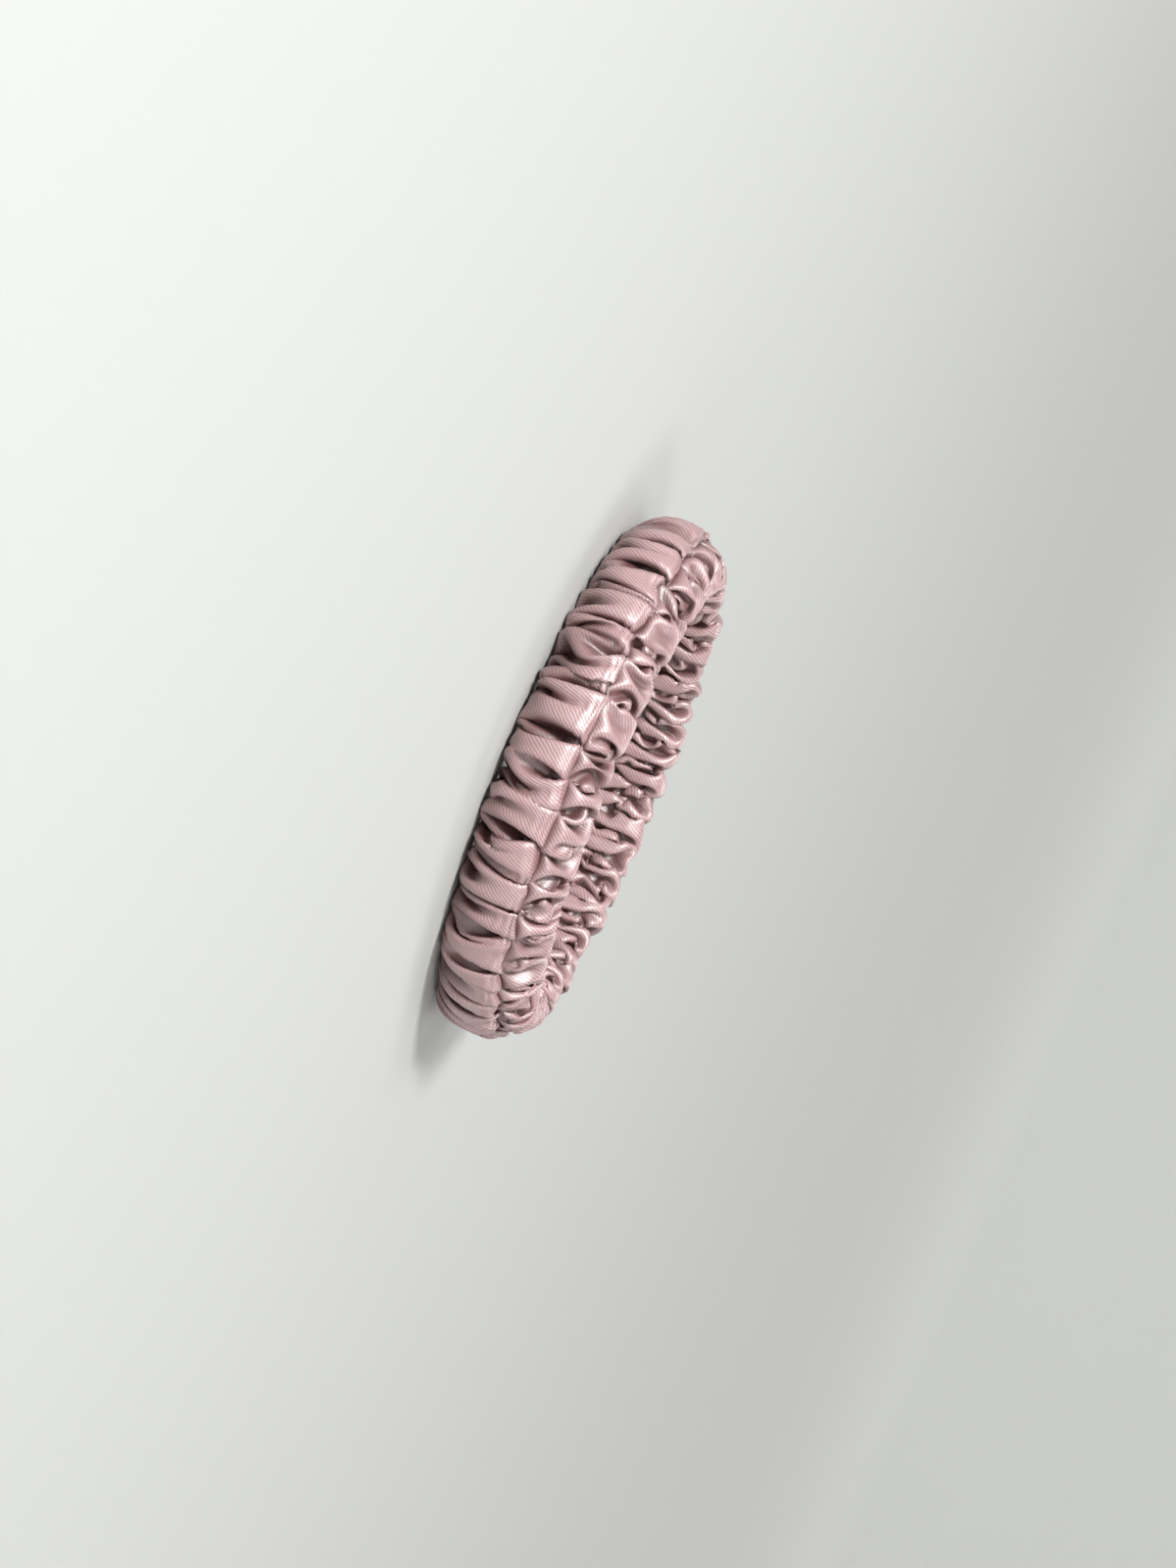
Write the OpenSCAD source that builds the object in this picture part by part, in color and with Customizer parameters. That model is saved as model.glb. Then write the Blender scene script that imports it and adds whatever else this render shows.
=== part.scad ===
// Slim gathered hair tie: a satin sleeve drawn up on a loop of flat elastic.
// It lies on its lower edge, round an oval opening whose axis is +Z.
// The cloth and the elastic each run on through the two ends of the oval. They are
// drawn in a near and a far half, so that the loop can be pulled open along Y.

/* [Opening] */
// Half of the opening's long side, along X
opening_half_x = 26.5; // [25:0.5:30]
// Half of the opening's short side, along Y
opening_half_y = 20; // [18:0.5:22]
// Radius of the opening's two tighter ends
opening_end_r = 13.5; // [12:0.5:15]
// Gap between the near and the far half at the two ends
half_gap = 0.3; // [0.2:0.05:0.5]

/* [Sleeve] */
// Width of the gathered sleeve, along Z
sleeve_w = 13; // [12:0.5:16]
// Thickness of the gathered sleeve, from the opening outwards
sleeve_t = 8; // [8:0.5:11]
// Depth that the packed gathers of one side fill
sleeve_wall = 1.2; // [1:0.1:1.4]
// Radius of the sleeve's rounded edges
sleeve_edge_r = 2.6; // [2.2:0.1:3]
// Gathers on each of a half's two tight ends
end_gathers = 4; // [3:1:6]
// Gathers between the tight ends of a half, an even number
side_gathers = 12; // [8:2:14]
// Height of a gather's crest over the groove beside it
gather_h = 0.5; // [0.3:0.1:0.6]
// Length of a gather's crest along the sleeve
crest_l = 2.2; // [1.8:0.1:2.4]

/* [Seams] */
// Height of the lengthwise seam over the resting edge
seam_z = 8.6; // [7:0.1:9]
// Width of the seam allowance, from the wall inwards
allowance_w = 2; // [1.6:0.1:2.2]
// Thickness of the two cloth layers in the allowance
allowance_t = 0.6; // [0.4:0.1:0.8]
// Diameter of the sewing thread
thread_d = 0.3; // [0.2:0.05:0.35]
// Length of one stitch, as the gathers shorten it
stitch_l = 1.5; // [1:0.1:2]
// Distance from one stitch to the next
stitch_pitch = 2.1; // [2.1:0.1:3]
// Length of a stitch of the closing seam
closing_stitch_l = 1.1; // [0.8:0.1:1.2]

/* [Elastic] */
// Width of the flat elastic
elastic_w = 6; // [4:0.5:6.5]
// Thickness of the flat elastic
elastic_t = 1.1; // [0.8:0.1:1.2]
// Distance from the opening to the elastic
elastic_in = 2.2; // [2:0.1:2.3]
// Length over which the elastic's two ends lie on each other
lap_l = 9; // [6:0.5:12]

/* [Hidden] */
$fn = 64;

satin = [0.70, 0.56, 0.58];
thread_colour = [0.62, 0.47, 0.50];
elastic_colour = [0.86, 0.82, 0.80];

// The opening is an oval of four arcs, and every layer follows it at its own distance.
end_x = opening_half_x - opening_end_r;
side_r = (end_x ^ 2 + opening_half_y ^ 2 - opening_end_r ^ 2)
    / (2 * (opening_half_y - opening_end_r));
side_y = side_r - opening_half_y;
end_turn = atan2(side_y, end_x);
side_turn = 180 - 2 * end_turn;

seam_in = sleeve_t - sleeve_wall - allowance_w;
seam_thread_in = seam_in + allowance_w / 2;
middle_in = sleeve_t / 2;
crest_wall = sleeve_wall + 0.2;

// Lengths of an end arc and of a half of the oval, at a distance d outside the opening
function end_length(d) = (opening_end_r + d) * end_turn * PI / 180;
function side_length(d) = (side_r + d) * side_turn * PI / 180;
function half_length(d) = 2 * end_length(d) + side_length(d);

// [x, y, heading] on the near half, at length s from its -X end and d outside the opening
function on_end(x, angle, d) =
    [x + (opening_end_r + d) * cos(angle), (opening_end_r + d) * sin(angle), angle + 90];
function on_side(angle, d) =
    [(side_r + d) * cos(angle), side_y + (side_r + d) * sin(angle), angle + 90];
function turned(length, r) = length / r * 180 / PI;
function near_at(s, d) =
    let (l = end_length(d), m = l + side_length(d))
    s < l ? on_end(-end_x, 180 + turned(s, opening_end_r + d), d)
    : s < m ? on_side(180 + end_turn + turned(s - l, side_r + d), d)
    : on_end(end_x, 360 - end_turn + turned(s - m, opening_end_r + d), d);

// The gathers' places along a half; one of them lies over each joint of two arcs
end_pitch = end_length(middle_in) / (end_gathers - 0.5);
side_pitch = side_length(middle_in) / side_gathers;
gather_places = [
    for (k = [0 : end_gathers - 1]) (k + 0.5) * end_pitch,
    for (k = [1 : side_gathers - 1]) end_length(middle_in) + k * side_pitch,
    for (k = [0 : end_gathers - 1]) half_length(middle_in) - (k + 0.5) * end_pitch
];

// Sweeps a profile, drawn with X outwards from the opening, round the near half
module near_sweep() {
    for (end = [[-end_x, 180], [end_x, 360 - end_turn]])
        translate([end[0], 0, 0]) rotate(end[1])
            rotate_extrude(angle = end_turn) translate([opening_end_r, 0]) children();
    translate([0, side_y, 0]) rotate(180 + end_turn)
        rotate_extrude(angle = side_turn) translate([side_r, 0]) children();
}

module near() {
    translate([0, -half_gap / 2, 0]) children();
}

module far() {
    mirror([0, 1, 0]) near() children();
}

// Puts a child, drawn along X at the origin, at length s on the near half
module near_place(s, d, z) {
    p = near_at(s, d);
    translate([p[0], p[1], z]) rotate(p[2]) children();
}

// A rectangle with round corners, its inner side d outside the opening
module round_box(d, z, w, h, r) {
    translate([d + r, z]) square([w - 2 * r, h]);
    translate([d, z + r]) square([w, h - 2 * r]);
    for (x = [d + r, d + w - r], y = [z + r, z + h - r])
        translate([x, y]) circle(r);
}

// The cloth of one side, between an outer face set in by d and a hollow set in by wall
module cloth_ring(d, wall) {
    difference() {
        round_box(d, 0, sleeve_t - 2 * d, sleeve_w - d, sleeve_edge_r);
        round_box(wall, wall, sleeve_t - 2 * wall, sleeve_w - 2 * wall,
            sleeve_edge_r - sleeve_wall);
    }
}

// The sleeve's cut in a groove: a packed layer round a hollow, with the seam allowance in it
module groove_cut() {
    cloth_ring(gather_h, sleeve_wall);
    translate([seam_in, seam_z])
        square([allowance_w + sleeve_wall / 2, allowance_t]);
}

// One gather's crest, a short straight ring round the sleeve's whole cut
module crest(s) {
    near_place(s, middle_in, 0)
        translate([-crest_l / 2, 0, 0]) rotate([90, 0, 90])
            linear_extrude(crest_l)
                mirror([1, 0]) translate([-middle_in, 0]) cloth_ring(0, crest_wall);
}

module sleeve_half() {
    near_sweep() groove_cut();
    for (s = gather_places) crest(s);
}

module sleeve_near_half() {
    color(satin) near() sleeve_half();
}

module sleeve_far_half() {
    color(satin) far() sleeve_half();
}

// A stitch is a short length of thread, lying along the seam
module stitch(length) {
    rotate([0, 90, 0]) cylinder(d = thread_d, h = length, center = true);
}

module seam_stitches(z) {
    count = floor(half_length(seam_thread_in) / stitch_pitch);
    start = (half_length(seam_thread_in) - (count - 1) * stitch_pitch) / 2;
    for (k = [0 : count - 1])
        near_place(start + k * stitch_pitch, seam_thread_in, z) stitch(stitch_l);
}

module seam_needle_thread() {
    seam_stitches(seam_z + allowance_t + thread_d / 2);
}

module seam_bobbin_thread() {
    seam_stitches(seam_z - thread_d / 2);
}

module seam_needle_thread_near_half() {
    color(thread_colour) near() seam_needle_thread();
}

module seam_needle_thread_far_half() {
    color(thread_colour) far() seam_needle_thread();
}

module seam_bobbin_thread_near_half() {
    color(thread_colour) near() seam_bobbin_thread();
}

module seam_bobbin_thread_far_half() {
    color(thread_colour) far() seam_bobbin_thread();
}

// The row that closes the sleeve's two ends on each other, on the middle of the far side.
// Its stitches lie one over the other, up the crest there.
module closing_seam_thread() {
    run = sleeve_w - 2 * sleeve_edge_r;
    count = floor(run / stitch_l);
    color(thread_colour) far()
        for (k = [0 : count - 1])
            near_place(half_length(sleeve_t) / 2, sleeve_t + thread_d / 2,
                sleeve_edge_r + (k + 0.5) * run / count)
                cylinder(d = thread_d, h = closing_stitch_l, center = true);
}

module elastic_half() {
    near_sweep()
        translate([elastic_in, (sleeve_w - elastic_w) / 2]) square([elastic_t, elastic_w]);
}

module elastic_near_half() {
    color(elastic_colour) near() elastic_half();
}

module elastic_far_half() {
    color(elastic_colour) far() elastic_half();
}

// The end of the elastic that lies outside the other end, in the middle of the far side
module elastic_lap_end() {
    lap_in = elastic_in + elastic_t;
    turn = turned(lap_l, side_r + lap_in);
    color(elastic_colour) far()
        translate([0, side_y, 0]) rotate(270 - turn / 2) rotate_extrude(angle = turn)
            translate([side_r + lap_in, (sleeve_w - elastic_w) / 2]) square([elastic_t, elastic_w]);
}

// Two bars of stitches that hold the elastic's ends together
module elastic_join_thread() {
    bar_in = elastic_in + 2 * elastic_t + thread_d / 2;
    rows = 3;
    color(thread_colour) far()
        for (side = [-1, 1], k = [0 : rows - 1])
            near_place(half_length(bar_in) / 2 + side * lap_l / 4, bar_in,
                sleeve_w / 2 + (k - 1) * stitch_l)
                cylinder(d = thread_d, h = closing_stitch_l, center = true);
}

sleeve_near_half();
sleeve_far_half();
seam_needle_thread_near_half();
seam_needle_thread_far_half();
seam_bobbin_thread_near_half();
seam_bobbin_thread_far_half();
closing_seam_thread();
elastic_near_half();
elastic_far_half();
elastic_lap_end();
elastic_join_thread();
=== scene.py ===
"""A slim gathered satin hair tie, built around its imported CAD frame."""

import math
from collections import namedtuple

import bpy
import numpy as np
from mathutils import Matrix, Vector


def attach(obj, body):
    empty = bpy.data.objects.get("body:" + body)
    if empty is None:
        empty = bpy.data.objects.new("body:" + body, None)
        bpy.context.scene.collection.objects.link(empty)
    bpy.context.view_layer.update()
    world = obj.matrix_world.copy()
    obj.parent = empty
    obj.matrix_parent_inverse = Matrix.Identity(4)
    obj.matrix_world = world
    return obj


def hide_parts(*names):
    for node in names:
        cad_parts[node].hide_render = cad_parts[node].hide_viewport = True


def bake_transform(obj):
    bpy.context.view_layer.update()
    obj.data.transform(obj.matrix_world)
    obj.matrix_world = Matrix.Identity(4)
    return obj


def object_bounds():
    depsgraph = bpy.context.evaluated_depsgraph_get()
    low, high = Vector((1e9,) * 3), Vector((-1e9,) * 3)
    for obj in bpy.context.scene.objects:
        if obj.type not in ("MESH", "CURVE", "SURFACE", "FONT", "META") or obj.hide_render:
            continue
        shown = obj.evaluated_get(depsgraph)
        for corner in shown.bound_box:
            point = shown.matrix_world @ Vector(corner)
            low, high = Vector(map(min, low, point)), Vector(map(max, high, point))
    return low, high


MM = 0.001

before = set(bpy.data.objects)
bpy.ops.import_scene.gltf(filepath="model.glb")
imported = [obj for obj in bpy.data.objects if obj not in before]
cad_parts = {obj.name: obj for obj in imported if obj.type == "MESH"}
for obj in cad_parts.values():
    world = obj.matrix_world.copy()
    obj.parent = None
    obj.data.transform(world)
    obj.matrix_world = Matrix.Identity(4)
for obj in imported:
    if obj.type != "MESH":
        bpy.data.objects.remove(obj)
cad_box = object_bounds()

# --- driving sizes, in millimetres ------------------------------------------------------------

LOOP_X = float(cad_box[1][0] / MM)  # half of the loop's outer length
LOOP_Y = float(-cad_box[0][1] / MM)  # half of the loop's outer breadth
SLEEVE_W = 13.0  # along Z
SLEEVE_T = 8.0  # from the opening outwards
END_R = 13.5  # the opening's tighter ends

GATHER = 3.0  # flat length over worn length
TUBE = 37.5  # the sewn tube's girth
OUTER_PLEATS = 52
INNER_PLEATS = 88
RIDGE_PLEATS = 104  # the fine ones over the top
CROWDED_AT = 0.745  # share of the strip at which its folds stand densest
SPARSE_AT = 0.265  # and at which they stand widest
LAP = 4.0  # the strip's end, lying on its start
LAP_LIFT = 0.22

ELASTIC_W = 6.0
ELASTIC_T = 1.1
ELASTIC_IN = 2.2  # from the opening to the elastic
ELASTIC_LAP = 9.0

THREAD_R = 0.11
STITCH = 2.4  # flat cloth from one stitch to the next

COLUMNS = 1000  # points along the strip
ROWS_TUBE = 84  # spaces between points round the tube
ROWS_ALLOWANCE = 7  # rows of points in each seam allowance
STEPS = 115  # of settling

Path = namedtuple("Path", "length x y heading total")
Room = namedtuple("Room", "low step back depth")


# --- meshes -----------------------------------------------------------------------------------


def mesh_object(name, verts, faces):
    """A smooth mesh object, from points in metres."""
    mesh = bpy.data.meshes.new(name)
    mesh.from_pydata(verts, [], faces)
    mesh.polygons.foreach_set("use_smooth", np.ones(len(faces), bool))
    mesh.update()
    obj = bpy.data.objects.new(name, mesh)
    bpy.context.collection.objects.link(obj)
    return obj


def set_cloth_places(obj, places):
    """Stores each point's place in the flat cloth, for its material."""
    attribute = obj.data.attributes.new("cloth", "FLOAT_VECTOR", "POINT")
    attribute.data.foreach_set("vector", places.reshape(-1).astype(np.float32))


def across_the_halves(obj, *nodes):
    """A piece that runs round the whole loop: its placement is baked into its points, and these CAD
    parts are hidden.
    """
    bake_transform(obj)
    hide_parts(*nodes)


# --- camera -----------------------------------------------------------------------------------

VIEW_ELEVATION = math.radians(9.0)
VIEW_DISTANCE = 478.0
LENS = 92.0
ROLL_COS, ROLL_SIN = -0.388, 0.922  # how the camera is turned about its own axis
AIM_RIGHT = 4.2
AIM_UP = -2.2


def camera():
    """The photograph's view: from the near side, a little above the loop, turned on its side."""
    data = bpy.data.cameras.new("camera")
    data.lens = LENS
    data.sensor_width = 36.0
    data.clip_start = 0.01
    data.clip_end = 20.0
    obj = bpy.data.objects.new("camera", data)
    bpy.context.collection.objects.link(obj)
    c, s = math.cos(VIEW_ELEVATION), math.sin(VIEW_ELEVATION)
    level = Vector((1, 0, 0))
    upward = Vector((0, s, c))
    back = Vector((0, -c, s))
    right = level * ROLL_COS + upward * ROLL_SIN
    up = -level * ROLL_SIN + upward * ROLL_COS
    aim = Vector((0, -LOOP_Y + 2, SLEEVE_W / 2)) + right * AIM_RIGHT + up * AIM_UP
    place = (aim + back * VIEW_DISTANCE) * MM
    obj.matrix_world = Matrix((
        (right.x, up.x, back.x, place.x),
        (right.y, up.y, back.y, place.y),
        (right.z, up.z, back.z, place.z),
        (0, 0, 0, 1),
    ))
    bpy.context.scene.camera = obj


# --- the loop's path --------------------------------------------------------------------------


def loop_path(samples=8000):
    """The sleeve's middle line: four arcs with eased joints, sampled by its own length."""
    a = LOOP_X - SLEEVE_T / 2
    b = LOOP_Y - SLEEVE_T / 2
    r = END_R + SLEEVE_T / 2
    end_x = a - r
    side_r = (end_x**2 + b**2 - r**2) / (2 * (b - r))
    end_turn = math.atan2(side_r - b, end_x)
    side_turn = math.pi - 2 * end_turn
    side_l, end_l = side_r * side_turn, r * end_turn * 2
    total = 2 * (side_l + end_l)
    s = (np.arange(samples) + 0.5) / samples * total
    on_end = (s > side_l / 2) & (s < side_l / 2 + end_l)
    on_end |= (s > side_l * 1.5 + end_l) & (s < side_l * 1.5 + 2 * end_l)
    bend = np.where(on_end, 1 / r, 1 / side_r)
    bend = smooth(bend, 3.0 / total * samples)
    step = total / samples
    heading = math.pi + np.concatenate([[0], np.cumsum(bend) * step])
    mid = (heading[1:] + heading[:-1]) / 2
    x = np.concatenate([[0], np.cumsum(np.cos(mid)) * step])
    y = np.concatenate([[0], np.cumsum(np.sin(mid)) * step])
    x -= (x.max() + x.min()) / 2
    y -= (y.max() + y.min()) / 2
    return Path(np.linspace(0, total, samples + 1), x, y, heading, total)


def smooth(values, width):
    """A closed row of values, averaged over a bell of this many samples."""
    n = len(values)
    k = np.fft.rfftfreq(n, 1 / n)
    return np.fft.irfft(np.fft.rfft(values, axis=0) * bell(k, n, width, values.ndim), n, axis=0)


def bell(k, n, width, ndim):
    """What the bell leaves of each wave k of a row of n samples."""
    g = np.exp(-2 * (math.pi * k * width / n) ** 2)
    return g if ndim == 1 else g[:, None]


def on_loop(path, s, rho, z):
    """Points at length s along the middle line, rho outside the opening and z up."""
    w = s - np.floor(s / path.total) * path.total
    px = np.interp(w, path.length, path.x)
    py = np.interp(w, path.length, path.y)
    h = np.interp(w, path.length, path.heading)
    out = rho - SLEEVE_T / 2
    return np.stack([px + np.sin(h) * out, py - np.cos(h) * out, z], -1)


# --- the sleeve's section -----------------------------------------------------------------------


def closed_curve(corners, rounding, samples):
    """A closed outline through these corners, rounded, sampled evenly by length, ends included."""
    p = np.array(corners + corners[:1], float)
    d = np.concatenate([[0], np.cumsum(np.hypot(*np.diff(p, axis=0).T))])
    u = np.linspace(0, d[-1], 4000, endpoint=False)
    q = np.stack([np.interp(u, d, p[:, k]) for k in (0, 1)], -1)
    q = smooth(q, rounding / d[-1] * len(q))
    q = np.vstack([q, q[:1]])
    d = np.concatenate([[0], np.cumsum(np.hypot(*np.diff(q, axis=0).T))])
    u = np.linspace(0, d[-1], samples)
    return np.stack([np.interp(u, d, q[:, k]) for k in (0, 1)], -1)


# Both outlines start at the ridge, go down the outer face, under, up the inner face and back.
CREST_LINE = [
    (7.9, 10.0), (8.5, 7.6), (8.6, 4.6), (8.0, 1.6), (6.5, -0.2), (1.4, -0.2),
    (0.0, 1.6), (0.0, 11.0), (1.4, 13.3), (4.4, 13.4),
]
CORE_LINE = [
    (4.7, 8.4), (4.7, 4.2), (3.9, 3.0), (1.9, 3.0), (1.6, 4.0),
    (1.6, 9.2), (2.0, 10.1), (3.8, 10.0),
]


def room_in(outline, step=0.1):
    """A grid over the outline: the way back in from places outside, the depth of those inside."""
    low = outline.min(0) - 2.0
    count = np.ceil((outline.max(0) + 2.0 - low) / step).astype(int)
    gx, gz = np.meshgrid(*[low[k] + step * np.arange(count[k]) for k in (0, 1)], indexing="ij")
    place = np.stack([gx, gz], -1)
    a, b = outline[:-1], outline[1:]
    d = b - a
    best = np.full(gx.shape, 1e9)
    nearest = np.zeros_like(place)
    winding = np.zeros(gx.shape)
    for p, q, v in zip(a, b, d):
        t = np.clip(((place - p) @ v) / (v @ v), 0, 1)[..., None]
        foot = p + t * v
        far = np.hypot(*np.moveaxis(place - foot, -1, 0))
        closer = far < best
        best = np.where(closer, far, best)
        nearest = np.where(closer[..., None], foot, nearest)
        w0, w1 = place - p, place - q
        winding += np.arctan2(w0[..., 0] * w1[..., 1] - w0[..., 1] * w1[..., 0], (w0 * w1).sum(-1))
    outside = np.abs(winding) < math.pi
    back = np.where(outside[..., None], nearest - place, 0.0)
    return Room(low, step, back, np.where(outside, 0.0, best))


def look_up(grid, room, rho, z):
    """The grid's value at each place of a section."""
    i = np.clip(((rho - room.low[0]) / room.step + 0.5).astype(int), 0, grid.shape[0] - 1)
    k = np.clip(((z - room.low[1]) / room.step + 0.5).astype(int), 0, grid.shape[1] - 1)
    return grid[i, k]


def section_place(x, path, places):
    """Each point's distance from the opening, the way outwards, and its step along the loop."""
    s = places % path.total
    h = np.interp(s, path.length, path.heading)
    dx = x[..., 0] - np.interp(s, path.length, path.x)
    dy = x[..., 1] - np.interp(s, path.length, path.y)
    tx, ty = np.cos(h), np.sin(h)
    rho = dx * ty - dy * tx + SLEEVE_T / 2
    return rho, ty, -tx, dx * tx + dy * ty


def noise_1d(n, waves, seed):
    """A closed row of smooth random values of unit spread, with up to this many waves in it."""
    r = np.random.default_rng(seed)
    k = np.arange(1, waves + 1)
    phase = r.uniform(0, 2 * math.pi, waves)
    gain = r.normal(0, 1, waves)
    u = np.arange(n)[:, None] / n
    v = (gain * np.cos(2 * math.pi * k * u + phase)).sum(1)
    return v / v.std()


def bump(sigma, centre, width):
    """1 at a place on the loop, given as a share of its length, falling to 0 this far away."""
    d = (sigma - centre + 0.5) % 1.0 - 0.5
    return np.exp(-((d / width) ** 2))


def pleat_phase(n, count, seed, uneven, crowd):
    """Phase along the flat strip with this many pleats, some wider than others."""
    rate = crowd * np.exp(uneven * noise_1d(n, count // 2, seed))
    phase = np.concatenate([[0], np.cumsum(rate)[:-1]])
    return phase / np.sum(rate) * 2 * math.pi * count


def meander(phase, lean, wide):
    """Direction of a pleated line: rounded crests wide apart, troughs drawn in."""
    return np.sin(phase + lean * np.sin(phase)) + wide * np.sin(2 * phase)


def flat_folds(phase, tilts, gap):
    """Direction of a pleated line: broad, nearly flat crests, steep sides and narrow troughs."""
    turn = (phase + math.pi) % (2 * math.pi) - math.pi
    away = np.abs(turn) - gap
    on_top = soft_step(away, 1.42, 1.85)
    side = soft_step(away, 0.05, 0.55) * (1 - on_top)
    bow = 0.22 * on_top * (math.pi - np.abs(turn)) / (math.pi - 2.0)
    number = np.floor(phase / (2 * math.pi)).astype(int)
    return np.sign(turn) * (side + bow) + on_top * tilts[number % len(tilts)]


def soft_step(x, lo, hi):
    """0 below lo, 1 above hi, and an easy rise between."""
    u = np.clip((x - lo) / (hi - lo), 0, 1)
    return u * u * (3 - 2 * u)


def spread_along(path, ds):
    """Loop taken up by each column, with more cloth where the folds crowd."""
    share = (np.arange(COLUMNS) + 0.5) / COLUMNS
    ease = 1 + 0.60 * bump(share, CROWDED_AT, 0.05) - 0.30 * bump(share, SPARSE_AT, 0.05)
    ease *= np.exp(0.10 * noise_1d(COLUMNS, 24, 31))
    middle = 1 / ease
    return middle * (path.total / (np.sum(middle) * ds))


class Folds:
    """The pleats' phases along the strip, and how they change from row to row."""

    def __init__(self):
        share = (np.arange(COLUMNS) + 0.5) / COLUMNS
        crowd = 1 + 2.0 * bump(share, CROWDED_AT, 0.045)
        self.outer = pleat_phase(COLUMNS, OUTER_PLEATS, 3, 0.18, crowd) + math.pi
        self.tilts = np.random.default_rng(4).normal(0, 0.07, OUTER_PLEATS)
        self.inner = pleat_phase(COLUMNS, INNER_PLEATS, 5, 0.15, 1)
        self.fine = pleat_phase(COLUMNS, RIDGE_PLEATS, 8, 0.2, 1)
        self.wander = [noise_1d(COLUMNS, 60, 20 + k) for k in range(4)]
        self.lift = np.clip(0.7 * noise_1d(COLUMNS, 40, 41), 0, 1.3)

    def direction(self, u):
        """Which way the cloth runs, all along the row at u, a share of the way round the tube."""
        face = 1 - soft_step(u, 0.20, 0.34) + soft_step(u, 0.72, 0.80)
        top = soft_step(u, 0.80, 0.86) * (1 - soft_step(u, 0.965, 1.0))
        slant = 2 * math.pi * 0.12 * min(u, 1 - u) / 0.25
        wave = sum(self.wander[q] * math.sin(2 * math.pi * (q + 1) * u + q) for q in range(4))
        tunnel = 0.7 * soft_step(u, 0.13, 0.21) * (1 - soft_step(u, 0.27, 0.33))
        knuckle = 1.3 * soft_step(u, 0.80, 0.86) * (1 - soft_step(u, 0.95, 1.0)) * self.wander[3]
        outer = flat_folds(self.outer + slant + 0.03 * wave + knuckle, self.tilts, tunnel)
        inner = meander(self.inner + 0.3 * wave, 0.0, 0.0)
        fine = meander(self.fine + 0.4 * wave, 0.1, 0.05)
        direction = outer * face + inner * (1 - face)
        return direction * (1 - 0.6 * top) + fine * 0.8 * top

    def raised(self, u):
        """How far the row at u is lifted off the floor, where the tunnels open."""
        return self.lift * soft_step(u, 0.10, 0.20) * (1 - soft_step(u, 0.30, 0.40))


def fold_up(direction, want, ds):
    """A row's steps along the loop and its depth, when folded until it takes up what is wanted."""
    levels = np.linspace(0.2, 2.6, 60)
    table = np.array([np.mean(np.cos(a * direction)) for a in levels])
    amount = np.interp(-want, -np.minimum.accumulate(table), levels)
    theta = amount * direction
    width = COLUMNS / OUTER_PLEATS * 0.9
    over = np.cos(theta) - want
    along = np.concatenate([[0], np.cumsum(over - over.mean())[:-1]]) * ds
    along -= smooth(along - along.mean(), width) + along.mean()
    height = np.concatenate([[0], np.cumsum(np.sin(theta) - np.sin(theta).mean())[:-1]]) * ds
    height -= smooth(height, width)
    height -= np.percentile(height, 96)
    return along, -height


def tuck_in(rho, z, k):
    """Leads the rows of a seam allowance from the seam to the middle of the tube."""
    beyond = (-k if k < 0 else k - ROWS_TUBE) / ROWS_ALLOWANCE
    side = 0.35 if k < 0 else -0.35
    return rho + (4.6 - rho) * beyond, z + (7.6 - z) * beyond - side * min(1, beyond * 3)


def sleeve_start(path):
    """The strip laid in pleats round the loop: columns along it, rows across it."""
    ds = path.total * GATHER / COLUMNS
    crest = closed_curve(CREST_LINE, 0.7, ROWS_TUBE + 1)
    core = closed_curve(CORE_LINE, 0.4, ROWS_TUBE + 1)
    middle = spread_along(path, ds)
    base = np.concatenate([[0], np.cumsum(middle)[:-1]]) * ds
    samples = len(path.length) - 1
    bend = np.interp(base, path.length[:-1], np.diff(path.heading) / (path.total / samples))
    folds = Folds()
    rows = ROWS_TUBE + 1 + 2 * ROWS_ALLOWANCE
    points = np.zeros((COLUMNS, rows, 3))
    places = np.zeros((COLUMNS, rows))
    for j in range(rows):
        k = j - ROWS_ALLOWANCE
        on_tube = min(max(k, 0), ROWS_TUBE)
        u = on_tube / ROWS_TUBE
        edge, inside = crest[on_tube], core[on_tube]
        stretch = 1 + bend * (edge[0] * 0.6 + inside[0] * 0.4 - SLEEVE_T / 2)
        along, depth = fold_up(folds.direction(u), middle * stretch, ds)
        f = np.clip(depth / math.hypot(*(edge - inside)), -0.1, 1.05)
        rho = edge[0] + f * (inside[0] - edge[0])
        z = edge[1] + f * (inside[1] - edge[1]) + folds.raised(u)
        if k != on_tube:
            rho, z = tuck_in(rho, z, k)
        places[:, j] = base + along / stretch
        points[:, j] = on_loop(path, places[:, j], rho, z)
    return points, places, ds


# --- the sleeve's gathering -----------------------------------------------------------------------

CLOTH_GAP = 0.32  # least distance of one layer's points from another layer's
FLOOR_GAP = 0.12
WRIST_GAP = 0.15
HOLD = 0.5  # how firmly the crests keep to the section, at each step
DRIFT = 0.75  # how much of its last move the cloth carries on with
LONGEST_MOVE = 0.12  # in one step
PAIRS_EVERY = 5  # steps between searches for layers that are near each other
ELASTIC_MID = (ELASTIC_IN + ELASTIC_T / 2, SLEEVE_W / 2)
ELASTIC_HALF = (ELASTIC_T / 2 + 0.35, ELASTIC_W / 2 + 0.3)  # with room for the cloth
CREASE_SHADE_DEPTHS = (0.20, 1.8)  # painted crease shade grows from this depth below the crests to this one


def pull(x, a, b, rest, stiffness):
    """Moves the points a and b of the grid towards their distance at rest."""
    d = x[b] - x[a]
    dist = np.sqrt(np.einsum("...k,...k->...", d, d)) + 1e-9
    d *= (0.5 * stiffness * (1 - rest / dist))[..., None]
    x[a] += d
    x[b] -= d


def pull_along(x, rest, stiffness):
    """Pulls towards the cloth's own length, round its closed row of columns."""
    for _ in (0, 1):
        pull(x, np.s_[0::2], np.s_[1::2], rest, stiffness)
        x[:] = np.roll(x, -1, axis=0)
    x[:] = np.roll(x, 2, axis=0)


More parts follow.
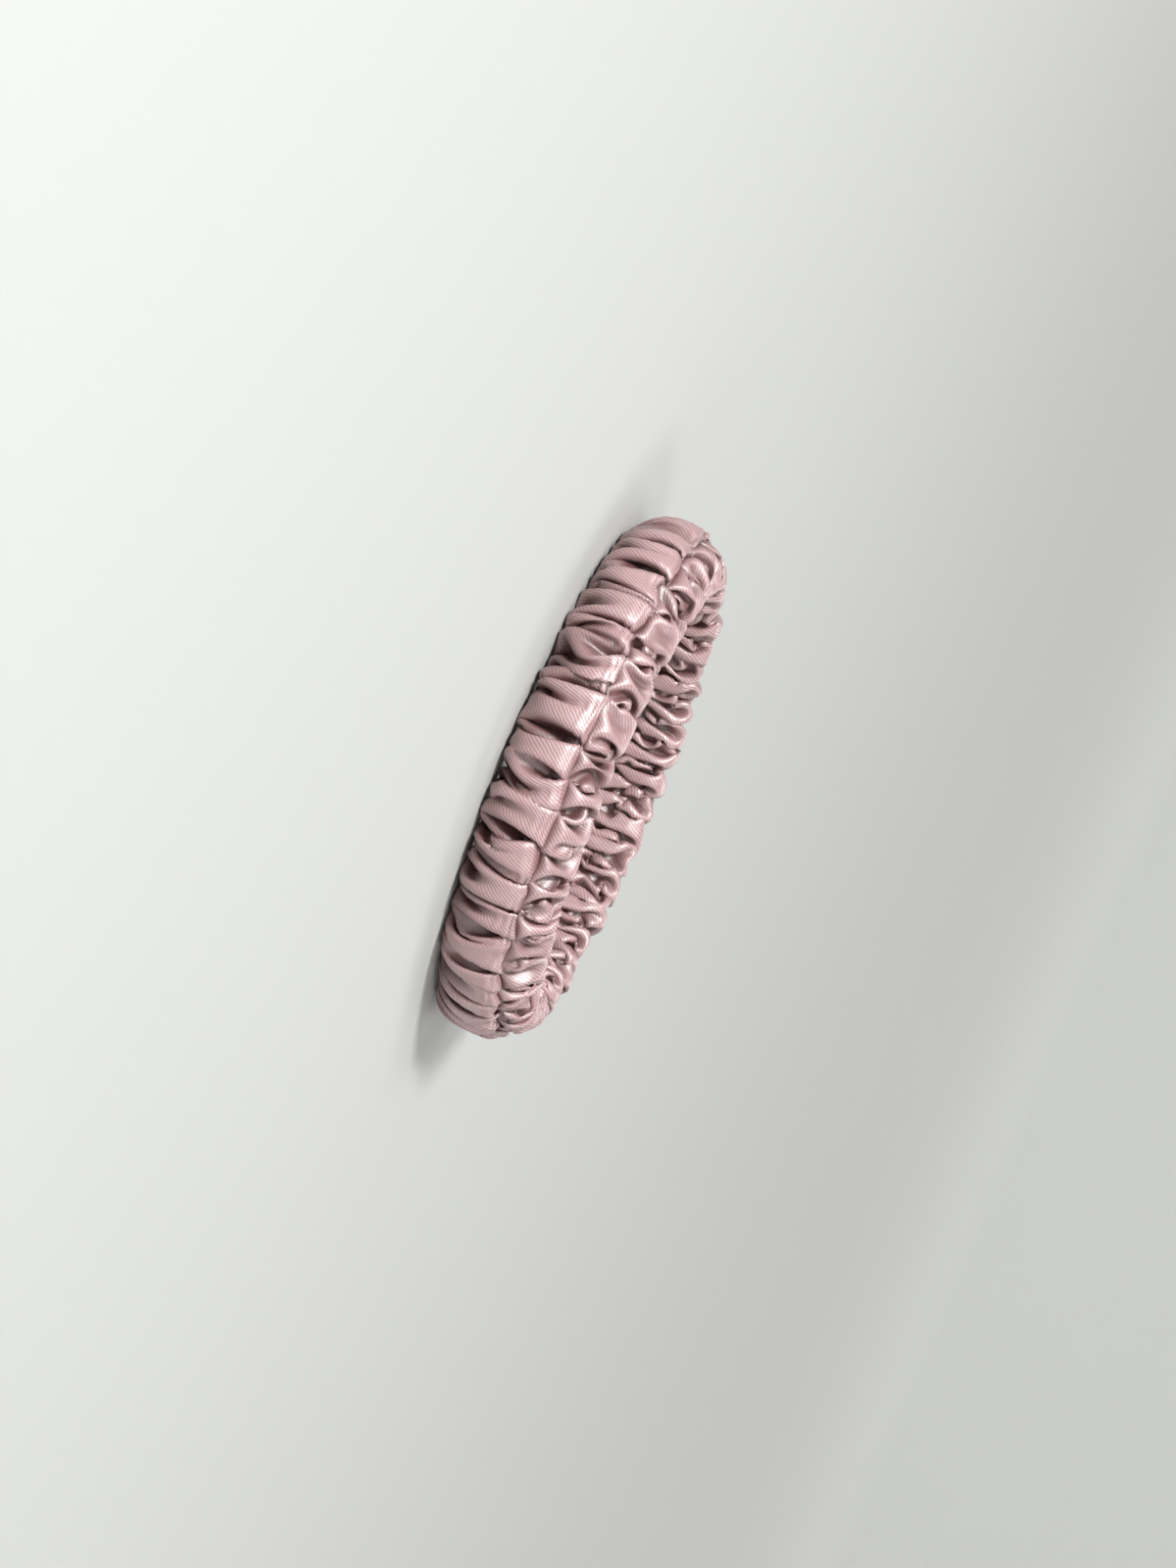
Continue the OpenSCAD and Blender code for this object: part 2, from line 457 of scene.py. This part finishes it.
def pull_across(x, rest, stiffness):
    """Pulls towards the cloth's own breadth."""
    last = x.shape[1]
    for first in (0, 1):
        stop = last - (last - first) % 2
        pull(x, np.s_[:, first:stop:2], np.s_[:, first + 1:stop:2], rest, stiffness)


def pull_askew(x, rest, stiffness):
    """Resists the shearing of the cloth's squares."""
    for _ in (0, 1):
        pull(x, np.s_[0::2, :-1], np.s_[1::2, 1:], rest, stiffness)
        pull(x, np.s_[0::2, 1:], np.s_[1::2, :-1], rest, stiffness)
        x[:] = np.roll(x, -1, axis=0)
    x[:] = np.roll(x, 2, axis=0)


def unbend(x, along, across, taut, reach=3):
    """Evens out the curvature, as the cloth's stiffness does, and more so where it is taut."""
    lap = x[:, 2 * reach:] + x[:, :-2 * reach] - 2 * x[:, reach:-reach]
    push = lap[:, 2 * reach:] + lap[:, :-2 * reach] - 2 * lap[:, reach:-reach]
    x[:, 2 * reach:-2 * reach] -= taut[None, 2 * reach:-2 * reach, None] * push
    lap = np.roll(x, 1, 0) + np.roll(x, -1, 0) - 2 * x
    x -= along * (np.roll(lap, 1, 0) + np.roll(lap, -1, 0) - 2 * lap)
    lap = x[:, 2:] + x[:, :-2] - 2 * x[:, 1:-1]
    x[:, 2:-2] -= across * (lap[:, 2:] + lap[:, :-2] - 2 * lap[:, 1:-1])


def close_pairs(x, reach, low, high):
    """Pairs of points nearer than reach, in rows low to high, leaving out grid neighbours."""
    n, m = x.shape[:2]
    p = x.reshape(-1, 3)
    cell = np.floor(p / reach).astype(np.int64)
    cell -= cell.min(0) - 1
    ny, nz = cell[:, 1].max() + 2, cell[:, 2].max() + 2
    key = (cell[:, 0] * ny + cell[:, 1]) * nz + cell[:, 2]
    order = np.argsort(key, kind="stable")
    sorted_key = key[order]
    found = []
    steps = [
        (dx, dy, dz)
        for dx in (0, 1) for dy in (-1, 0, 1) for dz in (-1, 0, 1)
        if (dx, dy, dz) >= (0, 0, 0)
    ]
    for dx, dy, dz in steps:
        other = sorted_key + (dx * ny + dy) * nz + dz
        lo = np.searchsorted(sorted_key, other, "left")
        hi = np.searchsorted(sorted_key, other, "right")
        if (dx, dy, dz) == (0, 0, 0):
            lo = np.arange(len(order)) + 1
        count = hi - lo
        mine = np.repeat(np.arange(len(order)), count)
        start = np.repeat(lo - np.concatenate([[0], np.cumsum(count)[:-1]]), count)
        theirs = start + np.arange(len(mine))
        a, b = order[mine], order[theirs]
        d = p[a] - p[b]
        near = np.einsum("ij,ij->i", d, d) < reach * reach
        a, b = a[near], b[near]
        di = np.abs(a // m - b // m)
        di = np.minimum(di, n - di)
        dj = np.abs(a % m - b % m)
        apart = (di > 2) | (dj > 2)
        apart &= (a % m >= low) & (a % m <= high) & (b % m >= low) & (b % m <= high)
        found.append((a[apart], b[apart]))
    return np.concatenate([f[0] for f in found]), np.concatenate([f[1] for f in found])


def push_apart(x, pairs, gap):
    """Pushes points of near layers apart; layers that have already crossed stay crossed."""
    p = x.reshape(-1, 3)
    a, b = pairs
    d = p[a] - p[b]
    dist = np.sqrt(np.einsum("ij,ij->i", d, d)) + 1e-9
    near = dist < gap
    a, b, d, dist = a[near], b[near], d[near], dist[near]
    d *= (0.5 * (gap / dist - 1))[:, None]
    size = len(p)
    count = np.bincount(a, minlength=size) + np.bincount(b, minlength=size)
    share = 1 / np.maximum(count, 1) ** 0.6
    for k in range(3):
        move = np.bincount(a, d[:, k], size) - np.bincount(b, d[:, k], size)
        p[:, k] += move * share


def keep_clear(x, path, places, room):
    """Keeps the cloth outside the wrist's oval and the elastic, and above the floor."""
    rho, nx, ny, ahead = section_place(x, path, places)
    places += np.clip(ahead, -0.5, 0.5)
    z = x[..., 2]
    way = look_up(room.back, room, rho, z)
    move = np.maximum(WRIST_GAP - rho, 0) + way[..., 0] * HOLD
    x[..., 2] += way[..., 1] * HOLD
    from_lap = (places + path.total / 2) % path.total - path.total / 2
    thicker = np.where(np.abs(from_lap) < ELASTIC_LAP / 2 + 1.5, ELASTIC_T / 2, 0)
    qx, qz = rho - ELASTIC_MID[0] - thicker, z - ELASTIC_MID[1]
    ax, az = np.abs(qx) - ELASTIC_HALF[0] - thicker, np.abs(qz) - ELASTIC_HALF[1]
    inside = np.maximum(ax, az) < 0
    by_side = inside & (ax > az)
    move += np.where(by_side, -ax * np.sign(qx), 0)
    x[..., 2] += np.where(inside & ~by_side, -az * np.sign(qz), 0)
    x[..., 2] += np.maximum(FLOOR_GAP - z, 0)
    x[..., 0] += move * nx
    x[..., 1] += move * ny


def gather(points, places, path, ds, steps):
    """Lets the pleated strip settle for some steps; it loses a little area and still crosses itself."""
    dt = TUBE / ROWS_TUBE
    askew = math.hypot(ds, dt)
    x = points.astype(np.float32)
    places = places.copy()
    before = x.copy()
    seam_a, seam_b = ROWS_ALLOWANCE, ROWS_ALLOWANCE + ROWS_TUBE
    room = room_in(closed_curve(CREST_LINE, 0.7, 120))
    row = np.arange(x.shape[1]) - ROWS_ALLOWANCE
    taut = 0.08 * np.exp(-(((row / ROWS_TUBE - 0.13) / 0.09) ** 2))
    for step in range(steps):
        if step % PAIRS_EVERY == 0:
            pairs = close_pairs(x, CLOTH_GAP + 0.3, seam_a + 1, seam_b - 1)
        x, before = x + DRIFT * (x - before), x
        for _ in (0, 1):
            pull_along(x, ds, 0.9)
            pull_across(x, dt, 0.9)
            pull_askew(x, askew, 0.25)
        unbend(x, 0.02, 0.03, taut)
        push_apart(x, pairs, CLOTH_GAP)
        seam = (x[:, seam_a] + x[:, seam_b]) / 2
        x[:, seam_a] = seam
        x[:, seam_b] = seam
        keep_clear(x, path, places, room)
        moved = x - before
        far = np.sqrt(np.einsum("...k,...k->...", moved, moved))
        x = before + moved * np.minimum(1, LONGEST_MOVE / (far + 1e-9))[..., None]
    return x, places


def lengthen(points, ds):
    """Carries the strip on over its own first end, and turns its last edge under."""
    count = round(LAP / ds)
    along = np.roll(points, -1, 0) - np.roll(points, 1, 0)
    across = np.gradient(points, axis=1)
    out = np.cross(along, across)
    out /= np.linalg.norm(out, axis=-1, keepdims=True) + 1e-9
    for _ in range(6):
        out = (np.roll(out, 1, 0) + np.roll(out, -1, 0) + 2 * out) / 4
    i = np.arange(count)
    rise = LAP_LIFT * np.minimum(1, i / 4)
    over = points[i] + out[i] * rise[:, None, None]
    back = np.arange(count - 1, count - 5, -1)
    under = points[back] + out[back] * LAP_LIFT * 0.45
    return np.concatenate([points, over, under])


def paint_crease_shade(points, path, places):
    """Painted crease shade: how deep each point lies below the crests, from 0 to 1, so the colour
    darkens there as if in shade; the allowances are inside the tube and get full painted shade.
    """
    room = room_in(closed_curve(CREST_LINE, 0.7, 120))
    rho = section_place(points, path, places)[0]
    depth = look_up(room.depth, room, rho, points[..., 2])
    crease_shade = soft_step(depth, *CREASE_SHADE_DEPTHS)
    # painted shade, in full, on the seam allowances inside the tube
    crease_shade[:, :ROWS_ALLOWANCE] = 1
    crease_shade[:, -ROWS_ALLOWANCE:] = 1
    return crease_shade


class Strip:
    """The gathered strip: its points, the place of each in the flat cloth, and its spacing."""

    def __init__(self):
        self.path = loop_path()
        self.points, places, self.ds = sleeve_start(self.path)
        self.points, places = gather(self.points, places, self.path, self.ds, STEPS)
        self.dt = TUBE / ROWS_TUBE
        # the painted crease shade of each point
        self.crease_shade = paint_crease_shade(self.points, self.path, places)
        self.whole = lengthen(self.points, self.ds)


def sleeve(strip):
    """The satin sleeve, one strip gathered round the elastic."""
    n, m = strip.whole.shape[:2]
    faces = [
        (i * m + j, (i + 1) * m + j, (i + 1) * m + j + 1, i * m + j + 1)
        for i in range(n - 1) for j in range(m - 1)
    ]
    obj = mesh_object("sleeve", (strip.whole.reshape(-1, 3) * MM).tolist(), faces)
    s, t = np.meshgrid(np.arange(n) * strip.ds, np.arange(m) * strip.dt, indexing="ij")
    set_cloth_places(obj, np.stack([s, t, np.zeros_like(s)], -1))
    # painted crease shade, kept on the points for the satin's colour
    crease_shade = strip.crease_shade[np.arange(n) % len(strip.crease_shade)]
    attribute = obj.data.attributes.new("crease_shade", "FLOAT", "POINT")
    attribute.data.foreach_set("value", crease_shade.reshape(-1).astype(np.float32))
    obj.data.materials.append(satin())
    across_the_halves(obj, "sleeve_near_half", "sleeve_far_half")


# --- threads and elastic --------------------------------------------------------------------------


def tubes(name, lines, radius, sides=6):
    """Round-ended threads along these lines, as one mesh."""
    verts, faces = [], []
    turn = np.arange(sides) / sides * 2 * math.pi
    for line in lines:
        line = np.asarray(line, float)
        way = np.gradient(line, axis=0)
        way /= np.linalg.norm(way, axis=1, keepdims=True) + 1e-9
        ends = np.array([line[0] - way[0] * radius, line[-1] + way[-1] * radius])
        line = np.vstack([ends[:1], line, ends[1:]])
        way = np.vstack([way[:1], way, way[-1:]])
        size = np.full(len(line), radius)
        size[[0, -1]] = radius * 0.4
        side = np.cross(way, (0.13, 0.21, 0.97))
        side /= np.linalg.norm(side, axis=1, keepdims=True) + 1e-9
        other = np.cross(way, side)
        first = len(verts)
        for p, a, b, r in zip(line, side, other, size):
            verts.extend(p + r * (np.cos(turn)[:, None] * a + np.sin(turn)[:, None] * b))
        for i in range(len(line) - 1):
            for k in range(sides):
                q = first + i * sides
                faces.append((q + k, q + (k + 1) % sides, q + sides + (k + 1) % sides, q + sides + k))
        faces.append(tuple(first + k for k in reversed(range(sides))))
        last = first + (len(line) - 1) * sides
        faces.append(tuple(last + k for k in range(sides)))
    obj = mesh_object(name, (np.array(verts) * MM).tolist(), faces)
    obj.data.materials.append(thread_finish())
    return obj


def seam_thread(name, strip, row, *nodes):
    """One thread of the lengthwise seam, a stitch at a time along this row of the strip."""
    n = len(strip.points)
    pitch = STITCH / strip.ds
    lines = []
    for k in range(int(n / pitch)):
        a = round(k * pitch)
        b = min(round((k + 0.8) * pitch), n - 1)
        lines.append(strip.points[a:b + 1, row])
    across_the_halves(tubes(name, lines, THREAD_R), *nodes)


def closing_thread(strip):
    """Whip stitches over the folded end that closes the sleeve, round the tube."""
    n = len(strip.points)
    edge = n + round(LAP / strip.ds) - 1
    first = ROWS_ALLOWANCE + 1
    lines = []
    for row in range(first, first + ROWS_TUBE - 2, 3):
        start, end = strip.whole[edge - 2, row], strip.whole[(edge + 2) % n, row + 1]
        top = strip.whole[edge, row] + (strip.whole[edge, row] - strip.points[edge % n, row]) * 0.8
        t = np.linspace(0, 1, 7)[:, None]
        lines.append((1 - t) ** 2 * start + 2 * t * (1 - t) * top + t ** 2 * end)
    obj = tubes("closing_thread", lines, THREAD_R)
    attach(obj, "far_half")
    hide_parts("closing_seam_thread")


def elastic(path):
    """The flat elastic, one strip with its end laid over its start on the far side."""
    steps, corner, rise = 420, 0.3, 2.5
    s = np.linspace(-ELASTIC_LAP / 2, path.total + ELASTIC_LAP / 2, steps)
    lap_start = path.total - ELASTIC_LAP / 2
    lift = ELASTIC_T * 1.02 * soft_step(s, lap_start - rise, lap_start)
    half_t, half_w = ELASTIC_T / 2, ELASTIC_W / 2
    outline = []
    for turn, (x, z) in enumerate(((1, 1), (-1, 1), (-1, -1), (1, -1))):
        for k in range(4):
            a = math.pi / 2 * (turn + k / 3)
            outline.append((x * (half_t - corner) + corner * math.cos(a),
                            z * (half_w - corner) + corner * math.sin(a)))
    outline = np.array(outline)
    rows = len(outline)
    ribs = 0.05 * np.sin(s[:, None] * 2 * math.pi / 0.9) * np.sign(outline[None, :, 0])
    rho = ELASTIC_IN + half_t + lift[:, None] + outline[None, :, 0] + ribs
    z = np.broadcast_to(SLEEVE_W / 2 + outline[None, :, 1], rho.shape)
    points = on_loop(path, np.broadcast_to(s[:, None], rho.shape), rho, z)
    faces = [
        (i * rows + j, i * rows + (j + 1) % rows, (i + 1) * rows + (j + 1) % rows, (i + 1) * rows + j)
        for i in range(steps - 1) for j in range(rows)
    ]
    faces.append(tuple(reversed(range(rows))))
    faces.append(tuple((steps - 1) * rows + j for j in range(rows)))
    obj = mesh_object("elastic", (points.reshape(-1, 3) * MM).tolist(), faces)
    place = np.stack([np.broadcast_to(s[:, None], rho.shape),
                      np.broadcast_to(outline[None, :, 1], rho.shape),
                      np.broadcast_to(outline[None, :, 0], rho.shape)], -1)
    set_cloth_places(obj, place)
    obj.data.materials.append(elastic_finish())
    across_the_halves(obj, "elastic_near_half", "elastic_far_half", "elastic_lap_end")


def elastic_join_thread():
    """The stitching that joins the elastic's ends keeps its CAD shape and gets its finish."""
    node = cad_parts["elastic_join_thread"]
    node.data.materials.clear()
    node.data.materials.append(thread_finish())


# --- materials ------------------------------------------------------------------------------------


class Nodes:
    """A material's nodes, made and joined by name."""

    def __init__(self, name):
        self.material = bpy.data.materials.new(name)
        self.material.use_nodes = True
        self.tree = self.material.node_tree
        self.shader = self.tree.nodes["Principled BSDF"]

    def node(self, kind, **values):
        """A new node; names that begin with in_ set its inputs, the others its own settings."""
        made = self.tree.nodes.new(kind)
        for key, value in values.items():
            if key.startswith("in_"):
                made.inputs[key[3:].replace("_", " ")].default_value = value
            else:
                setattr(made, key, value)
        return made

    def math(self, operation, a, b=None, c=None):
        """The result of one sum, each term a number or another node's output."""
        made = self.node("ShaderNodeMath", operation=operation)
        for socket, value in zip(made.inputs, (a, b, c)):
            if value is None:
                continue
            if hasattr(value, "is_output"):
                self.tree.links.new(value, socket)
            else:
                socket.default_value = value
        return made.outputs[0]

    def link(self, a, b):
        """Joins an output to an input."""
        self.tree.links.new(a, b)

    def mix(self, factor, a, b):
        """A colour between a and b, each a colour or another node's output."""
        made = self.node("ShaderNodeMix", data_type="RGBA")
        self.link(factor, made.inputs[0])
        for socket, value in ((made.inputs[6], a), (made.inputs[7], b)):
            if hasattr(value, "is_output"):
                self.link(value, socket)
            else:
                socket.default_value = (*value, 1)
        return made.outputs[2]


SATIN_LIGHT = (0.500, 0.345, 0.352)
SATIN_MID = (0.385, 0.196, 0.200)
SATIN_DEEP = (0.150, 0.028, 0.028)
# painted shade: the deep wine that the creases and the inside of the tube are darkened to
SATIN_CREASE_SHADE = (0.090, 0.017, 0.014)
RIB_PITCH = 0.40  # millimetres from one rib of the weave to the next
RIB_TURN = math.radians(52)  # how far the ribs turn from the strip's length


def satin():
    """Mauve satin: fine slanting ribs, uneven threads, a soft shine, and painted shade that darkens the
    creases and the inside of the tube.
    """
    m = Nodes("satin")
    place = m.node("ShaderNodeAttribute", attribute_name="cloth")
    split = m.node("ShaderNodeSeparateXYZ")
    m.link(place.outputs["Vector"], split.inputs[0])
    along = m.math("MULTIPLY", split.outputs[0], math.sin(RIB_TURN) / RIB_PITCH)
    across = m.math("MULTIPLY", split.outputs[1], math.cos(RIB_TURN) / RIB_PITCH)
    waver = m.node("ShaderNodeTexNoise", in_Scale=0.5, in_Detail=2.0)
    m.link(place.outputs["Vector"], waver.inputs["Vector"])
    turns = m.math("ADD", m.math("ADD", along, across), m.math("MULTIPLY", waver.outputs[0], 0.9))
    rib = m.math("SINE", m.math("MULTIPLY", turns, 2 * math.pi))
    rib = m.math("MULTIPLY_ADD", rib, 0.5, 0.5)
    # single threads, long along the strip and short across it
    stretch = m.node("ShaderNodeMapping", vector_type="POINT")
    stretch.inputs["Scale"].default_value = (1.4, 9.0, 1.0)
    m.link(place.outputs["Vector"], stretch.inputs["Vector"])
    thread = m.node("ShaderNodeTexNoise", in_Scale=1.0, in_Detail=3.0, in_Roughness=0.6)
    m.link(stretch.outputs[0], thread.inputs["Vector"])
    cloud = m.node("ShaderNodeTexNoise", in_Scale=0.15, in_Detail=4.0)
    m.link(place.outputs["Vector"], cloud.inputs["Vector"])
    tone = m.mix(cloud.outputs[0], SATIN_LIGHT, SATIN_MID)
    broken = m.math("MULTIPLY", thread.outputs[0], 1.7)
    groove = m.math("MULTIPLY", m.math("SUBTRACT", 1.0, rib), broken)
    tone = m.mix(groove, tone, SATIN_DEEP)
    fleck = m.math("MULTIPLY", thread.outputs[0], 0.36)
    tone = m.mix(fleck, tone, SATIN_LIGHT)
    # painted shade: the colour is darkened to deep wine where the cloth lies deep in the creases, and
    # inside the tube, where shade falls
    crease_shade = m.node("ShaderNodeAttribute", attribute_name="crease_shade")
    tone = m.mix(m.math("MULTIPLY", crease_shade.outputs["Fac"], 0.92), tone, SATIN_CREASE_SHADE)
    m.link(tone, m.shader.inputs["Base Color"])
    height = m.math("ADD", m.math("MULTIPLY", rib, 0.7), m.math("MULTIPLY", thread.outputs[0], 0.6))
    bump = m.node("ShaderNodeBump", in_Strength=0.45, in_Distance=0.00006)
    m.link(height, bump.inputs["Height"])
    m.link(bump.outputs[0], m.shader.inputs["Normal"])
    rough = m.math("MULTIPLY_ADD", thread.outputs[0], 0.16, 0.44)
    m.link(rough, m.shader.inputs["Roughness"])
    m.shader.inputs["IOR"].default_value = 1.7
    m.shader.inputs["Specular IOR Level"].default_value = 1.0
    m.shader.inputs["Coat Weight"].default_value = 0.75
    m.shader.inputs["Coat Roughness"].default_value = 0.40
    m.shader.inputs["Sheen Weight"].default_value = 0.05
    m.shader.inputs["Sheen Roughness"].default_value = 0.35
    m.shader.inputs["Sheen Tint"].default_value = (1.0, 0.86, 0.87, 1)
    return m.material


def thread_finish():
    """Spun thread: two plies laid round each other, a little fuzzy."""
    found = bpy.data.materials.get("thread")
    if found:
        return found
    m = Nodes("thread")
    place = m.node("ShaderNodeTexCoord")
    ply = m.node("ShaderNodeTexWave", wave_type="BANDS", bands_direction="DIAGONAL", in_Scale=1500.0)
    m.link(place.outputs["Object"], ply.inputs["Vector"])
    tone = m.mix(ply.outputs["Fac"], (0.26, 0.13, 0.15), (0.46, 0.28, 0.30))
    m.link(tone, m.shader.inputs["Base Color"])
    bump = m.node("ShaderNodeBump", in_Strength=0.5, in_Distance=0.00003)
    m.link(ply.outputs["Fac"], bump.inputs["Height"])
    m.link(bump.outputs[0], m.shader.inputs["Normal"])
    m.shader.inputs["Roughness"].default_value = 0.7
    m.shader.inputs["Sheen Weight"].default_value = 0.3
    return m.material


def elastic_finish():
    """Braided cover over rubber: a fine zigzag of off-white yarn."""
    m = Nodes("elastic")
    place = m.node("ShaderNodeAttribute", attribute_name="cloth")
    split = m.node("ShaderNodeSeparateXYZ")
    m.link(place.outputs["Vector"], split.inputs[0])
    zig = m.math("PINGPONG", split.outputs[1], 0.5)
    turns = m.math("ADD", m.math("MULTIPLY", split.outputs[0], 2.2), m.math("MULTIPLY", zig, 1.6))
    braid = m.math("SINE", m.math("MULTIPLY", turns, 2 * math.pi))
    braid = m.math("MULTIPLY_ADD", braid, 0.5, 0.5)
    tone = m.mix(braid, (0.50, 0.45, 0.42), (0.78, 0.74, 0.70))
    m.link(tone, m.shader.inputs["Base Color"])
    bump = m.node("ShaderNodeBump", in_Strength=0.6, in_Distance=0.00008)
    m.link(braid, bump.inputs["Height"])
    m.link(bump.outputs[0], m.shader.inputs["Normal"])
    m.shader.inputs["Roughness"].default_value = 0.75
    m.shader.inputs["Sheen Weight"].default_value = 0.2
    return m.material


# --- floor, backdrop and light ---------------------------------------------------------------------


def backdrop():
    """A pale round floor that turns up into a wall far away on every side."""
    flat, radius, height, around = 3.0, 1.2, 4.0, 96
    line = [(flat * k / 6, 0.0) for k in range(1, 7)]
    for k in range(1, 25):
        a = math.pi / 2 * k / 24
        line.append((flat + radius * math.sin(a), radius * (1 - math.cos(a))))
    line.append((flat + radius, height))
    turn = [2 * math.pi * k / around for k in range(around)]
    verts = [(r * math.cos(t), r * math.sin(t), z) for t in turn for r, z in line]
    n = len(line)
    verts.append((0, 0, 0))
    faces = []
    for k in range(around):
        here, there = k * n, (k + 1) % around * n
        faces.append((len(verts) - 1, here, there))
        faces += [(here + j, here + j + 1, there + j + 1, there + j) for j in range(n - 1)]
    obj = mesh_object("floor", verts, faces)
    m = Nodes("floor")
    m.shader.inputs["Base Color"].default_value = (0.44, 0.448, 0.436, 1)
    m.shader.inputs["Roughness"].default_value = 0.9
    obj.data.materials.append(m.material)


def lamp(name, place, size, energy, aim=(0, 0, 0)):
    """A soft square lamp that looks at the object, or at another place."""
    data = bpy.data.lights.new(name, "AREA")
    data.size = size
    data.energy = energy
    obj = bpy.data.objects.new(name, data)
    bpy.context.collection.objects.link(obj)
    obj.location = place
    obj.rotation_mode = "QUATERNION"
    obj.rotation_quaternion = (Vector(aim) - Vector(place)).to_track_quat("-Z", "Y")


def light():
    """A key lamp from the camera's side, two weak ones, and a ring that lights the backdrop."""
    world = bpy.data.worlds.new("world")
    bpy.context.scene.world = world
    world.use_nodes = True
    background = world.node_tree.nodes["Background"]
    background.inputs["Color"].default_value = (1, 0.88, 0.84, 1)
    background.inputs["Strength"].default_value = 0.05
    lamp("key", (-0.50, -0.70, 0.55), 0.18, 12.4)
    lamp("fill", (0.8, -0.7, 0.25), 0.4, 1.5)
    lamp("back", (0.3, 0.8, 1.0), 0.8, 1)
    # these look away from the object, at the foot of the wall
    for k in range(4):
        c, s = math.cos(math.pi / 2 * k), math.sin(math.pi / 2 * k)
        lamp(f"wall_{k}", (2.6 * c, 2.6 * s, 2.4), 2.0, 66, aim=(3.3 * c, 3.3 * s, 0))
    bpy.context.scene.view_settings.view_transform = "Standard"


camera()
backdrop()
light()
strip = Strip()
sleeve(strip)
seam_thread("seam_needle_thread", strip, ROWS_ALLOWANCE - 1,
            "seam_needle_thread_near_half", "seam_needle_thread_far_half")
seam_thread("seam_bobbin_thread", strip, ROWS_ALLOWANCE + ROWS_TUBE + 1,
            "seam_bobbin_thread_near_half", "seam_bobbin_thread_far_half")
closing_thread(strip)
elastic(strip.path)
elastic_join_thread()
